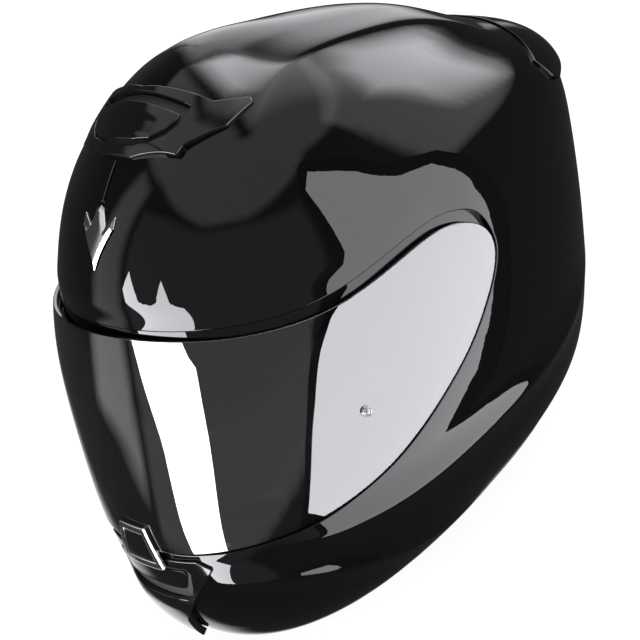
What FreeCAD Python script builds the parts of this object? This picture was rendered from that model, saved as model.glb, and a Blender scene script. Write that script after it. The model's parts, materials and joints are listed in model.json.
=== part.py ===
"""A full-face motorcycle helmet, built the way the real one is assembled.

Frame: millimetres, +Z up, -Y the way the face looks, +X the wearer's left. The origin is
under the middle of the helmet, on the surface it stands on. The outer form is one skin,
worked out from three meridians (front, side and rear); every shell, visor and liner is a
layer of that skin, cut by outlines that are drawn in the side view.
"""
import FreeCAD, Part
import math
import os
from FreeCAD import Placement, Rotation, Vector
import Sketcher

doc = FreeCAD.newDocument("helmet")

# ---------------------------------------------------------------- driving dimensions
SIZES = [
    ("overall_length", 346, "chin to rear lip of the shell"),
    ("overall_width", 248, "shell at its widest"),
    ("overall_height", 280, "floor to crown"),
    ("shell_wall", 5.0, "moulded thermoplastic wall"),
    ("visor_wall", 2.2, "polycarbonate visor"),
    ("visor_proud", 1.2, "visor face above the shell's own skin at the pivots"),
    ("visor_brow", 1.0, "how much further it stands out at the front"),
    ("recess_depth", 3.4, "shell face under the visor, below its own skin"),
    ("pivot_y", -2, "visor pivot, along the helmet"),
    ("pivot_z", 155, "visor pivot, above the floor"),
    ("cup_radius", 21, "round pocket of the visor mechanism"),
    ("cup_floor", 115.6, "pocket floor from the middle plane"),
    ("plate_radius", 20.7, "base plate of the visor mechanism"),
    ("plate_wall", 2.6, "base plate thickness"),
    ("hub_radius", 8, "boss on the visor that turns in the base plate"),
    ("hub_play", 0.06, "running clearance of that boss"),
    ("screw_radius", 1.6, "shank of the base plate screws"),
    ("screw_head", 3.0, "head of the base plate screws"),
    ("screw_reach", 14.5, "screws from the pivot"),
    ("lever_width", 7, "visor release lever"),
    ("lever_length", 6, "visor release lever"),
    ("lever_stroke", 2.5, "visor release lever"),
    ("pin_radius", 2.6, "head of an anti-fog lens pin"),
    ("webbing_width", 24, "chin strap webbing"),
    ("webbing_wall", 2.2, "chin strap webbing"),
    ("strap_y", 49, "middle of the chin strap, along the helmet"),
    ("strap_low", 15, "lowest point of the strap's middle plane"),
    ("rivet_radius", 4.2, "strap rivet head"),
    ("anchor_z", 66, "strap rivets above the floor"),
    ("buckle_length", 42, "buckle housing"),
    ("buckle_width", 30, "buckle housing"),
    ("liner_gap", 0.4, "foam liner to shell"),
    ("trim_height", 2.2, "rubber edge under the shell"),
    ("slider_travel", 5, "forehead vent slider"),
    ("shutter_travel", 4, "chin vent shutter"),
]
sheet = doc.addObject("Spreadsheet::Sheet", "Sizes")
for row, (alias, value, note) in enumerate(SIZES, 1):
    sheet.set(f"A{row}", note)
    sheet.set(f"B{row}", str(value))
    sheet.setAlias(f"B{row}", alias)
doc.recompute()


def size(alias):
    """A driving dimension, read back from the sheet."""
    return float(sheet.get(alias))


LENGTH_SHARE = size("overall_length") / 346
WIDTH_SHARE = size("overall_width") / 248
HEIGHT_SHARE = size("overall_height") / 280
PIVOT = Vector(0, size("pivot_y"), size("pivot_z"))

# ---------------------------------------------------------------- the helmet's skin
# Meridians from just under the floor up to the crown: (y, z) at the front and rear, (x, z) at the side.
FRONT = [(-106, -8), (-128, 0), (-151, 8), (-167, 26), (-173, 52), (-170, 81), (-162, 109), (-152, 137),
         (-141, 165), (-125.5, 197), (-103, 233), (-62, 265), (-4, 280)]
SIDE = [(65, -8), (76, 8), (89, 22), (102, 48), (112, 80), (118.5, 111), (122.5, 141), (124, 170),
        (119, 197), (103, 225), (79, 251), (43, 270), (0, 280)]
REAR = [(99, -8), (108, 14), (122, 24), (136, 50), (148, 82), (159, 115), (168, 143), (173, 167),
        (163, 187), (137, 208), (104, 236), (52, 261), (-4, 280)]
CAVITY_FRONT = [(-91, -8), (-93, 30), (-95, 90), (-92, 150), (-82, 195), (-54, 227), (8, 242)]
CAVITY_SIDE = [(76, -8), (77, 30), (80, 90), (81, 150), (73, 195), (47, 228), (0, 242)]
CAVITY_REAR = [(89, -8), (94, 30), (106, 90), (112, 150), (103, 195), (74, 228), (8, 242)]
FRONT_SQUARENESS, REAR_SQUARENESS = 2.15, 2.35
CROWN_MIDDLE = -4.0


def through(points):
    """A smooth curve through points, whose parameter counts them."""
    curve = Part.BSplineCurve()
    curve.interpolate(Points=[Vector(*p) for p in points], Parameters=[float(i) for i in range(len(points))])
    return curve


class Skin:
    """A closed dome: a point for each turn (0 front, 90 left, 180 rear) and level (0 lowest, 1 crown)."""

    def __init__(self, front, side, rear, centre_y=CROWN_MIDDLE):
        self.count = len(front) - 1
        self.centre_y = centre_y * LENGTH_SHARE
        middle = [(0, y * LENGTH_SHARE, z * HEIGHT_SHARE) for y, z in front + rear[-2::-1]]
        across = [(x * WIDTH_SHARE, 0, z * HEIGHT_SHARE) for x, z in side]
        across += [(-x, 0, z) for x, y, z in across[-2::-1]]
        self.middle, self.across = through(middle), through(across)

    def plain(self, turn, level):
        place = level * self.count
        near = self.middle.value(place if math.cos(turn) > 0 else 2 * self.count - place)
        flank = self.across.value(place)
        reach = max(abs(near.y - self.centre_y), 1e-6)
        half = max(abs(flank.x), 1e-6)
        square = FRONT_SQUARENESS if math.cos(turn) > 0 else REAR_SQUARENESS
        square = 2 + (square - 2) * (1 - level ** 4)
        c, s = math.cos(turn), math.sin(turn)
        r = ((abs(c) / reach) ** square + (abs(s) / half) ** square) ** (-1 / square)
        z = flank.z + (near.z - flank.z) * c * c
        return Vector(r * s, self.centre_y - r * c, z)

    def normal(self, turn, level):
        if level > 0.999:
            return Vector(0, 0, 1)
        step = 1e-3
        a = self.plain(turn + step, level) - self.plain(turn - step, level)
        b = self.plain(turn, min(level + step, 1)) - self.plain(turn, level - step)
        n = a.cross(b)
        return n.normalize()


SHELL = Skin(FRONT, SIDE, REAR)
CAVITY = Skin(CAVITY_FRONT, CAVITY_SIDE, CAVITY_REAR, centre_y=8.0)


def smooth(low, high, x):
    """0 below low, 1 above high, with a soft step between."""
    t = min(max((x - low) / (high - low), 0.0), 1.0)
    return t * t * (3 - 2 * t)


# Side-view lines, as (y, z): the visor's edge from the front along the bottom, round the pivot and back.
VISOR_EDGE = [(-230, 88), (-170, 88), (-128, 86.5), (-99, 88), (-77, 91.5), (-56, 98), (-36, 106), (-16, 115.5),
              (1, 127), (12, 136.5), (19.5, 147), (20.5, 158), (15, 168), (5, 175.5), (-9, 180.5), (-30, 182),
              (-55, 181.5), (-77, 182.5), (-97, 186), (-114, 190.5), (-128, 195.5), (-160, 203), (-230, 212)]
RECESS_EDGE = [(-230, 86.4), (-170, 86.4), (-128, 84.9), (-99, 86.4), (-76.5, 90), (-55.4, 96.5), (-35.3, 104.6),
               (-15.2, 114.1), (2, 125.7), (13.3, 135.5), (21.2, 146.5), (22.5, 158.6), (18.6, 171), (8.5, 179.3),
               (-7, 184.3), (-30, 185.8), (-55, 185.2), (-77, 185.8), (-97, 188.8), (-114, 192.8), (-128, 197.4),
               (-160, 204.8), (-230, 213.6)]
PORT_EDGE = [(-230, 100), (-160, 100), (-130, 99.5), (-98, 103), (-72, 112), (-53, 125), (-43, 139), (-42, 152),
             (-50, 163), (-66, 168), (-92, 172.5), (-118, 181), (-150, 186), (-230, 190)]
BROW_LINE = through([(y, z, 0) for y, z in VISOR_EDGE[14:]])
CREASE_LINE = [(-150, 80), (-123, 76), (-87, 69), (-56, 65), (-20, 62), (28, 60), (70, 64), (110, 74)]
CHIN_LINE = [(-175, 71), (-150, 64), (-120, 49), (-80, 29), (-40, 16), (0, 6)]
RIDGE_X = 60.0
BROW_DIP = 2.0


def along(points, y):
    """The height of a side-view line at y, straight between its points."""
    if y <= points[0][0]:
        return points[0][1]
    for (y0, z0), (y1, z1) in zip(points, points[1:]):
        if y <= y1:
            return z0 + (z1 - z0) * (y - y0) / (y1 - y0)
    return points[-1][1]


BROW_POINTS = [(y, z) for y, z in reversed(VISOR_EDGE[14:])]


def features(p):
    """How far the moulded shell stands out of its plain skin at p: brow dip, side crease and top ridges."""
    lift = 0.0
    over = p.z - along(BROW_POINTS, p.y)
    dip = smooth(-26, -8, over) * (1 - smooth(1, 17, over))
    lift -= BROW_DIP * dip * (1 - smooth(-12, 22, p.y))
    below = p.z - along(CREASE_LINE, p.y)
    crest = max(0.0, 1 - abs(below) / 17) ** 2
    lift += 2.6 * crest * smooth(-150, -110, p.y) * (1 - smooth(60, 120, p.y)) * smooth(40, 80, abs(p.x))
    chin = max(0.0, 1 - abs(p.z - along(CHIN_LINE, p.y)) / 14) ** 2
    lift += 1.5 * chin * (1 - smooth(-60, -10, p.y)) * smooth(32, 54, abs(p.x))
    beside = abs(p.x) - RIDGE_X
    ridge = max(0.0, 1 - abs(beside) / 24) ** 2
    lift += 2.2 * ridge * smooth(-30, 20, p.y) * (1 - smooth(105, 135, p.y)) * smooth(190, 215, p.z)
    return lift


TURNS, LEVELS = 72, 40
FLOOR_UNDER = -8 * HEIGHT_SHARE


def dome(skin, lift, shaped=False, under=0.0):
    """A closed solid under the skin moved out by lift, which may be a function of the point.

    A dome that is taken out of another one reaches lower, by under, so their floors never coincide.
    """
    rows = []
    for i in range(LEVELS + 1):
        level = i / LEVELS
        row = []
        for j in range(TURNS + 1):
            turn = 2 * math.pi * (j % TURNS) / TURNS + math.pi
            p = skin.plain(turn, level)
            out = lift(p) if callable(lift) else lift
            if shaped:
                out += features(p)
            p = p + skin.normal(turn, level) * out
            if i == 0:
                p.z = FLOOR_UNDER - under
            row.append(p)
        rows.append(row)
    apex = rows[-1][0]
    rows[-1] = [apex] * (TURNS + 1)
    surface = Part.BSplineSurface()
    surface.interpolate(rows)
    side = surface.toShape()
    rim = next(e for e in side.Edges if abs(e.BoundBox.ZMax - FLOOR_UNDER + under) < 0.01 and e.Length > 100)
    cap = Part.Face(Part.Wire([rim]))
    solid = Part.Solid(Part.Shell([side, cap]))
    solid.fix(0.01, 0.01, 0.01)
    if solid.Volume < 0:
        solid.reverse()
    return solid


def grown(points, by):
    """A side-view line moved sideways by a distance, to the left of the way it runs."""
    curve = through([(y, z, 0) for y, z in points])
    moved = []
    steps = 3 * (len(points) - 1)
    for k in range(steps + 1):
        place = k / 3
        p = curve.value(place)
        way = curve.tangent(place)[0]
        moved.append((p.x + way.y * by, p.y - way.x * by))
    return moved


def prism(points, low=-200, high=200, smoothed=True):
    """A side-view outline made solid from x = low to x = high, closed by a straight line."""
    spots = [Vector(low, y, z) for y, z in points]
    if smoothed:
        curve = Part.BSplineCurve()
        curve.interpolate(spots)
        edges = [curve.toShape(), Part.makeLine(spots[-1], spots[0])]
        wire = Part.Wire(edges)
    else:
        wire = Part.makePolygon(spots + [spots[0]])
    return Part.Face(wire).extrude(Vector(high - low, 0, 0))


def column(outline, low, high):
    """A top-view outline (x, y) made solid between two heights, mirrored about x = 0."""
    spots = [Vector(x, y, low) for x, y in outline]
    spots += [Vector(-x, y, low) for x, y in outline[::-1] if x > 0]
    wire = Part.makePolygon(spots + [spots[0]])
    return Part.Face(wire).extrude(Vector(0, 0, high - low))


def beam(outline, front, back):
    """A front-view outline (x, z) made solid between two depths, mirrored about x = 0."""
    spots = [Vector(x, front, z) for x, z in outline]
    spots += [Vector(-x, front, z) for x, z in outline[::-1] if x > 0]
    wire = Part.makePolygon(spots + [spots[0]])
    return Part.Face(wire).extrude(Vector(0, back - front, 0))


def disc(x_low, x_high, radius, y=0.0, z=0.0):
    """A cylinder along X about the visor pivot, moved by y and z."""
    return Part.makeCylinder(radius, x_high - x_low, PIVOT + Vector(x_low, y, z), Vector(1, 0, 0))


def flip(shape):
    """The right-hand twin of a left-hand shape."""
    return shape.mirror(Vector(0, 0, 0), Vector(1, 0, 0))


def both(shape):
    """A left-hand shape with its right-hand twin."""
    return Part.makeCompound([shape, flip(shape)])


def largest(shape):
    """The one solid that counts, without slivers left by a cut."""
    return max(shape.Solids, key=lambda solid: solid.Volume)


NODES = []


def keep(name, shape):
    """Hold a skin-shaped sub-part as a feature of its own."""
    part = doc.addObject("Part::Feature", name)
    part.Label = name
    part.Shape = shape
    part.Placement = Placement(Vector(0, 0, 0), Rotation())
    NODES.append(part)
    return part


def show(part, name):
    """Name a built sub-part and hold it for the export."""
    part.Label = name
    NODES.append(part)
    return part


# ---------------------------------------------------------------- layers of the skin
def visor_face(p):
    """Outer face of the visor above the plain skin."""
    return size("visor_proud") + size("visor_brow") * (1 - smooth(-120, -60, p.y))


def visor_back(p):
    return visor_face(p) - size("visor_wall")


def gasket_face(p):
    """Outer face of the eye port gasket: clear of the visor, further where the visor turns past it."""
    turning = smooth(-78, -58, p.y) * (1 - smooth(-18, -6, p.y))
    return visor_back(p) - 0.45 - 0.75 * turning


RIM_LINE = [(-230, 0), (-128, 0), (-60, 5), (0, 8), (60, 11.5), (120, 14), (230, 16)]
TRIM = size("trim_height")
below_rim = prism(RIM_LINE + [(230, -60), (-230, -60)], smoothed=False)
below_shell = prism([(y, z + TRIM) for y, z in RIM_LINE] + [(230, -60), (-230, -60)], smoothed=False)
shell_out = dome(SHELL, 0.0, shaped=True)
shell_in = dome(SHELL, -size("shell_wall"), shaped=True, under=6.0)
recess = dome(SHELL, -size("recess_depth"), under=6.0)
visor_out = dome(SHELL, visor_face)
visor_in = dome(SHELL, visor_back, under=6.0)
liner_out = dome(SHELL, -size("shell_wall") - size("liner_gap"), shaped=True)
visor_area = prism(VISOR_EDGE)
recess_area = prism(RECESS_EDGE)
port_area = prism(PORT_EDGE)

# ---------------------------------------------------------------- outer shell
CUP = size("cup_floor")
boss = disc(CUP - 3.0, CUP + 4.0, size("cup_radius") + 3.5)
shell = shell_out.cut(shell_in)
shell = shell.fuse([boss.common(shell_out), flip(boss).common(shell_out)])
cup = disc(CUP, CUP + 20, size("cup_radius"))
screw_holes = [disc(CUP - 5, CUP + 1, size("screw_radius"), y * size("screw_reach")) for y in (-1, 1)]
away = [recess_area.cut(recess), below_shell, port_area, cup, flip(cup)]
away += screw_holes + [flip(hole) for hole in screw_holes]
shell = largest(shell.cut(away))
RIVET = Vector(0, size("strap_y"), size("anchor_z"))
SHANK = 0.6 * size("rivet_radius")
probe = Part.makeCylinder(0.5, 60, RIVET + Vector(80, 0, 0), Vector(1, 0, 0)).common(shell)
wall_x = min(vertex.X for vertex in probe.Vertexes)
rivet_hole = Part.makeCylinder(SHANK + 0.02, wall_x - 80 + 2.5, RIVET + Vector(80, 0, 0), Vector(1, 0, 0))
shell = largest(shell.cut([rivet_hole, flip(rivet_hole)]))
keep("outer_shell", shell)

trim = dome(SHELL, 0.5, shaped=True).cut(shell_in).common(below_shell).cut(below_rim)
keep("rim_trim", largest(trim))

# ---------------------------------------------------------------- visor
HUB_IN = CUP + 0.5
hub = disc(HUB_IN, CUP + 12, size("hub_radius")).common(visor_in)
visor = largest(visor_out.cut(visor_in).common(visor_area))
keep("visor", visor)
keep("visor_hub_left", largest(hub))
keep("visor_hub_right", flip(largest(hub)))
tab_face = dome(SHELL, lambda p: visor_face(p) + 2.2)
tab_back = dome(SHELL, lambda p: visor_face(p) + 0.02, under=6.0)
tab = tab_face.cut(tab_back).common(beam([(0, 102), (11, 102), (18, 79), (0, 79)], -200, -120))
keep("visor_tab", largest(tab))
lens_out = dome(SHELL, lambda p: visor_back(p) - 0.12)
lens_in = dome(SHELL, lambda p: visor_back(p) - 1.25, under=6.0)
LENS_EDGE = [(-230, 113), (-160, 113), (-130, 113), (-108, 116), (-92, 124), (-86, 136), (-86, 148), (-92, 157),
             (-108, 163), (-130, 166), (-160, 168), (-230, 168)]
lens_area = prism(LENS_EDGE)
keep("antifog_lens", largest(lens_out.cut(lens_in).common(lens_area)))
pin_at = Vector(108, -79, 127)
pin_way = Vector(0.86, -0.5, 0.0)
PIN_FACE = dome(SHELL, lambda p: visor_face(p) + 0.9)
pin = Part.makeCylinder(size("pin_radius"), 40, pin_at - pin_way * 20, pin_way).common(PIN_FACE).cut(tab_back)
pin = largest(pin)
keep("lens_pin_left", pin)
keep("lens_pin_right", flip(pin))

# ---------------------------------------------------------------- eye port gasket
gasket_out = dome(SHELL, gasket_face)
gasket_floor = dome(SHELL, -size("recess_depth") + 0.08, under=6.0)
gasket = gasket_out.cut([gasket_floor, prism(grown(PORT_EDGE, 0.5))]).common(prism(grown(PORT_EDGE, 6.5)))
keep("eye_port_gasket", largest(gasket.common(recess_area)))

# ---------------------------------------------------------------- things on the outside
SEAT = dome(SHELL, 0.08, shaped=True, under=6.0)
COVER = [(0, -72), (13, -72), (41, -64), (42, -59), (56, -41), (60, -24), (57, -22), (44, -33.5), (0, -38.5)]
GROOVE = [(0, -67.6), (13, -66.8), (23.5, -63.6), (31, -58), (35, -51.5), (36.2, -41.5), (0, -41.5)]
SLIDER = [(0, -66.5), (12.5, -65.7), (22.5, -62.7), (29.6, -57.4), (33.6, -51.2), (34.6, -47.6), (0, -47.6)]


def cover_face(p):
    """The vent cover swells towards its middle line and sinks to its edges."""
    side = 1 - smooth(30, 58, abs(p.x))
    return 1.2 + 2.8 * side * smooth(-74, -62, p.y) + 0.5 * smooth(-60, -45, p.y)


cover = dome(SHELL, cover_face).cut(SEAT).common(column(COVER, 200, 300))
groove_floor = dome(SHELL, 1.2, shaped=True, under=6.0)
cover = cover.cut(column(GROOVE, 200, 300).cut(groove_floor))
keep("forehead_vent_cover", largest(cover))
slider = dome(SHELL, lambda p: cover_face(p) + 0.6).cut(dome(SHELL, 2.1, shaped=True, under=6.0))
slider = slider.common(column(SLIDER, 200, 300))
keep("forehead_vent_slider", largest(slider))

BADGE = [(0, -113), (4, -108.5), (13.5, -98.5), (13.5, -93.5), (6.5, -98.5), (3.2, -92.5), (0, -91)]
badge = dome(SHELL, 1.7, shaped=True).cut(SEAT).common(column(BADGE, 190, 270))
keep("forehead_badge", largest(badge))
SPINE = [(0, -90.5), (1.2, -90.5), (2.2, -73), (0, -73)]
keep("forehead_spine", largest(dome(SHELL, 1.1, shaped=True).cut(SEAT).common(column(SPINE, 190, 290))))

COWL = [(0, 83.5), (37, 83.5), (45, 78), (29, 62), (14, 44), (7, 24), (0, 24)]
WINDOW = [(0, 78.3), (28, 78.3), (30.5, 75.8), (26.5, 62.5), (22.5, 60), (0, 60)]
SHUTTER = [(0, 77.5), (26.4, 77.5), (28.3, 75.8), (24.2, 66.6), (22.5, 66), (0, 66)]


def cowl_face(p):
    """The chin vent cowl keeps low under the visor tab and stands out lower down."""
    lower = 1 - smooth(52, 68, p.z)
    return 1.4 + lower * (2.4 + 0.8 * (1 - smooth(14, 30, abs(p.x))))


cowl = dome(SHELL, cowl_face).cut(SEAT).common(beam(COWL, -200, -120))
cowl = cowl.cut(beam(WINDOW, -200, -120))
keep("chin_vent_cowl", largest(cowl))
shutter = dome(SHELL, lambda p: cowl_face(p) - 0.1).cut(dome(SHELL, 0.7, shaped=True, under=6.0))
keep("chin_vent_shutter", largest(shutter.common(beam(SHUTTER, -200, -120))))

SPOILER = [(230, 199), (150, 199), (141, 198), (120, 189.5), (124, 177), (131, 171), (150, 168.5), (230, 168)]


def spoiler_lip(p):
    """The rear spoiler stands out most along its lower edge, near the middle."""
    high = 1 - smooth(172, 199, p.z)
    wide = 1 - smooth(64, 98, abs(p.x))
    return 1.1 + 2.6 * high * (0.35 + 0.65 * wide) * smooth(90, 125, p.y)


spoiler = dome(SHELL, spoiler_lip).cut(SEAT).common(prism(SPOILER, smoothed=False))
OUTLET = [(0, 176), (46, 176), (52, 168), (48, 160), (0, 160)]
spoiler = spoiler.cut(beam(OUTLET, 120, 200).cut(dome(SHELL, 3.4, shaped=True, under=6.0)).common(
    prism([(230, 176), (100, 176), (100, 160), (230, 160)], smoothed=False)))
keep("rear_spoiler", largest(spoiler))
exhaust = dome(SHELL, 2.0, shaped=True).cut(SEAT)
keep("rear_exhaust_grille", largest(exhaust.common(beam([(0, 167.5), (50, 167.5), (44, 156), (0, 153)], 120, 200))))

# ---------------------------------------------------------------- foam, pads and trim inside
LINER_EDGE = [(-230, 192), (-118, 189), (-92, 181), (-66, 176), (-49, 168), (-38, 152), (-37, 118), (-31, 103),
              (-20, 98.5), (56, 96.5), (66, 88), (68, 44), (76, 38), (230, 38), (230, 330), (-230, 330)]
crown_face = dome(CAVITY, 8.4, under=12.0)
liner_area = prism(LINER_EDGE, smoothed=False)
boss_room = disc(CUP - 3.4, CUP + 6, size("cup_radius") + 4.2)
eps = liner_out.cut([crown_face, boss_room, flip(boss_room)]).common(liner_area)
keep("eps_crown_liner", largest(eps))
pad_area = prism([(y + (2.5 if y < 60 else 0), z + (2.0 if z > 96 else 0)) for y, z in LINER_EDGE], smoothed=False)
crown_pad = dome(CAVITY, 8.0).cut(dome(CAVITY, 0.0, under=6.0)).common(pad_area)
keep("crown_pad", largest(crown_pad))

CHEEK_EDGE = [(-110, 22), (-110, 86), (-96, 93), (-72, 102), (-52, 108), (-38, 98), (-26, 94), (30, 92.5),
              (34, 84), (34, 22), (20, 13), (-60, 8), (-100, 12)]
cheek = liner_out.common(prism(CHEEK_EDGE, low=64, smoothed=False))
cheek = largest(cheek.cut(boss_room))
keep("cheek_pad_left", cheek)
keep("cheek_pad_right", flip(cheek))

CHIN_HALF_X, CHIN_HALF_Y = 96.0, 138.0


def oval(inset, low, high):
    """An upright oval column inside the chin bar."""
    ring = Part.Ellipse(Vector(0, CROWN_MIDDLE, low), CHIN_HALF_Y - inset, CHIN_HALF_X - inset).toShape()
    ring.rotate(Vector(0, CROWN_MIDDLE, low), Vector(0, 0, 1), 90)
    return Part.Face(Part.Wire([ring])).extrude(Vector(0, 0, high - low))


CHIN_EDGE = [(-230, 12), (-113, 12), (-113, 86), (-126, 93), (-150, 94.5), (-230, 94.5)]
chin_liner = liner_out.common(prism(CHIN_EDGE, smoothed=False)).cut(oval(0, -20, 140))
keep("eps_chin_liner", largest(chin_liner))
guard = oval(0.3, 70, 106).cut(oval(2.3, 60, 120))
keep("breath_guard", largest(guard.common(beam([(0, 104), (30, 104), (42, 90), (42, 74), (0, 74)], -200, -100))))

ROLL_EDGE = [(69, 34), (69, 4), (75, 0), (96, 0), (230, 0), (230, 34)]
roll = liner_out.cut(dome(CAVITY, -4.0, under=12.0)).common(prism(ROLL_EDGE, smoothed=False))
keep("neck_roll", largest(roll))

# ---------------------------------------------------------------- visor mechanism and screws
ALONG_X = Rotation(Vector(0, 1, 0), 90)
ALONG_Y = Rotation(Vector(1, 0, 0), -90)


def peg(name, radius, height, x, y="0", z="0", turn=ALONG_X):
    """A cylinder along X (or another way) whose sizes and place are expressions of the sheet."""
    part = doc.addObject("Part::Cylinder", name)
    part.Placement = Placement(Vector(0, 0, 0), turn)
    part.setExpression("Radius", radius)
    part.setExpression("Height", height)
    part.setExpression("Placement.Base.x", x)
    part.setExpression("Placement.Base.y", y)
    part.setExpression("Placement.Base.z", z)
    return part


def block(name, sizes, corner):
    """A box whose sizes and corner are expressions of the sheet."""
    part = doc.addObject("Part::Box", name)
    for field, value in zip(("Length", "Width", "Height"), sizes):
        part.setExpression(field, value)
    for field, value in zip("xyz", corner):
        part.setExpression("Placement.Base." + field, value)
    return part


def less(name, base, tools):
    """One part with others taken away."""
    tool = tools[0]
    if len(tools) > 1:
        tool = doc.addObject("Part::MultiFuse", name + "_away")
        tool.Shapes = tools
    part = doc.addObject("Part::Cut", name)
    part.Base = base
    part.Tool = tool
    return part


def joined(name, parts):
    part = doc.addObject("Part::MultiFuse", name)
    part.Shapes = parts
    return part


def twin(source, name):
    """The right-hand twin of a left-hand part."""
    part = doc.addObject("Part::Mirroring", name)
    part.Source = source
    part.Normal = Vector(1, 0, 0)
    part.Base = Vector(0, 0, 0)
    return show(part, name)


PY, PZ = "Sizes.pivot_y", "Sizes.pivot_z"
PLATE_X = "Sizes.cup_floor + 0.02"
plate = peg("Plate", "Sizes.plate_radius", "Sizes.plate_wall", PLATE_X, PY, PZ)
taken = [
    peg("PlateHub", "Sizes.hub_radius + Sizes.hub_play", "8", "Sizes.cup_floor - 2", PY, PZ),
    block("PlateSlot", ("8", "Sizes.lever_width + 0.8", "Sizes.lever_length + Sizes.lever_stroke + 0.9"),
          ("Sizes.cup_floor - 2", PY + " - Sizes.lever_width / 2 - 0.4",
           PZ + " - 9.9 - Sizes.lever_length - Sizes.lever_stroke")),
]
for side, sign in (("Front", "-"), ("Rear", "+")):
    where = f"{PY} {sign} Sizes.screw_reach"
    taken.append(peg("PlateBore" + side, "Sizes.screw_radius + 0.02", "8", "Sizes.cup_floor - 2", where, PZ))
    taken.append(peg("PlateSink" + side, "Sizes.screw_head + 0.1", "3",
                     "Sizes.cup_floor + Sizes.plate_wall - 1.3", where, PZ))
plate_left = show(less("VisorBaseLeft", plate, taken), "visor_base_left")
twin(plate_left, "visor_base_right")
for side, sign in (("front", "-"), ("rear", "+")):
    where = f"{PY} {sign} Sizes.screw_reach"
    shank = peg("Shank_" + side, "Sizes.screw_radius - 0.02", "Sizes.plate_wall + 2.4",
                "Sizes.cup_floor - 2.6", where, PZ)
    head = peg("Head_" + side, "Sizes.screw_head", "1.2", "Sizes.cup_floor + Sizes.plate_wall - 1.25", where, PZ)
    drive = block("Drive_" + side, ("2", "0.9", "4"),
                  ("Sizes.cup_floor + Sizes.plate_wall - 0.75", where + " - 0.45", PZ + " - 2"))
    screw = less("Screw_" + side, joined("ScrewBody_" + side, [shank, head]), [drive])
    show(screw, f"base_screw_{side}_left")
    twin(screw, f"base_screw_{side}_right")
lever = block("ReleaseLever", ("Sizes.plate_wall - 0.9", "Sizes.lever_width", "Sizes.lever_length"),
              ("Sizes.cup_floor + 0.45", PY + " - Sizes.lever_width / 2", PZ + " - 9.4 - Sizes.lever_length"))
show(lever, "release_lever_left")
twin(lever, "release_lever_right")

# ---------------------------------------------------------------- chin strap and buckle
STRAP_LINE = [(91.8, 75), (91.8, 66), (90.2, 56), (83.0, 42), (69.6, 28.5), (55.2, 16.5), (43, 11.4)]
STRAP_LINE_RIGHT = [(91.8, 75), (91.8, 66), (90.2, 56), (83.0, 42), (69.6, 28.5), (53, 17.5), (30.2, 12.4)]


def webbing(line):
    """Webbing of even thickness along a line in the plane across the helmet."""
    curve = through([(x, 0, z) for x, z in line])
    half = size("webbing_wall") / 2
    near, far = [], []
    for k in range(4 * (len(line) - 1) + 1):
        p = curve.value(k / 4)
        way = curve.tangent(k / 4)[0]
        sideways = Vector(way.z, 0, -way.x)
        y = Vector(0, size("strap_y") - size("webbing_width") / 2, 0)
        near.append(p + sideways * half + y)
        far.append(p - sideways * half + y)
    edges = []
    for spots in (near, far):
        side_curve = Part.BSplineCurve()
        side_curve.interpolate(spots)
        edges.append(side_curve.toShape())
    edges.append(Part.makeLine(near[0], far[0]))
    edges.append(Part.makeLine(near[-1], far[-1]))
    face = Part.Face(Part.Wire(Part.__sortEdges__(edges)))
    return face.extrude(Vector(0, size("webbing_width"), 0))


bore = Part.makeCylinder(SHANK + 0.02, 40, RIVET + Vector(80, 0, 0), Vector(1, 0, 0))
keep("strap_left", webbing(STRAP_LINE).cut(bore))
keep("strap_right", flip(webbing(STRAP_LINE_RIGHT).cut(bore)))
rivet = Part.makeCylinder(size("rivet_radius"), 1.7, RIVET + Vector(88.5, 0, 0), Vector(1, 0, 0))
rivet = rivet.fuse(Part.makeCylinder(SHANK, wall_x + 2.4 - 89.6, RIVET + Vector(89.6, 0, 0), Vector(1, 0, 0)))
keep("strap_rivet_left", rivet)
keep("strap_rivet_right", flip(rivet))
anchor = less("AnchorLeft",
              block("AnchorPlate", ("1.6", "18", "14"), ("93.1", "Sizes.strap_y - 9", "Sizes.anchor_z - 5")),
              [peg("AnchorBore", "0.6 * Sizes.rivet_radius + 0.02", "8", "92", "Sizes.strap_y", "Sizes.anchor_z")])
show(anchor, "strap_anchor_left")
twin(anchor, "strap_anchor_right")

body = doc.addObject("PartDesign::Body", "BuckleHousing")
section = body.newObject("Sketcher::SketchObject", "HousingSection")
section.Placement = Placement(Vector(4, 0, 0), Rotation(Vector(1, 1, 1), 120))
HALF, WALL, LOW, FLOOR, TOP = 15.0, 1.6, 8.6, 10.2, 19.0
corners = [(-HALF, LOW), (HALF, LOW), (HALF, TOP), (HALF - WALL, TOP), (HALF - WALL, FLOOR),
           (-HALF + WALL, FLOOR), (-HALF + WALL, TOP), (-HALF, TOP)]
middle_y = size("strap_y")
for (y0, z0), (y1, z1) in zip(corners, corners[1:] + corners[:1]):
    section.addGeometry(Part.LineSegment(Vector(middle_y + y0, z0, 0), Vector(middle_y + y1, z1, 0)))
for k in range(8):
    section.addConstraint(Sketcher.Constraint("Coincident", k, 2, (k + 1) % 8, 1))
for k in (0, 2, 4, 6):
    section.addConstraint(Sketcher.Constraint("Horizontal", k))
for k in (1, 3, 5, 7):
    section.addConstraint(Sketcher.Constraint("Vertical", k))
width = section.addConstraint(Sketcher.Constraint("DistanceX", 0, 1, 0, 2, 2 * HALF))
section.setExpression(f"Constraints[{width}]", "Sizes.buckle_width")
edge = section.addConstraint(Sketcher.Constraint("DistanceX", -1, 1, 0, 1, middle_y - HALF))
section.setExpression(f"Constraints[{edge}]", "Sizes.strap_y - Sizes.buckle_width / 2")
section.addConstraint(Sketcher.Constraint("DistanceY", -1, 1, 0, 1, LOW))
section.addConstraint(Sketcher.Constraint("DistanceY", 1, 1, 1, 2, TOP - LOW))
section.addConstraint(Sketcher.Constraint("DistanceY", -1, 1, 4, 1, FLOOR))
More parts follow.
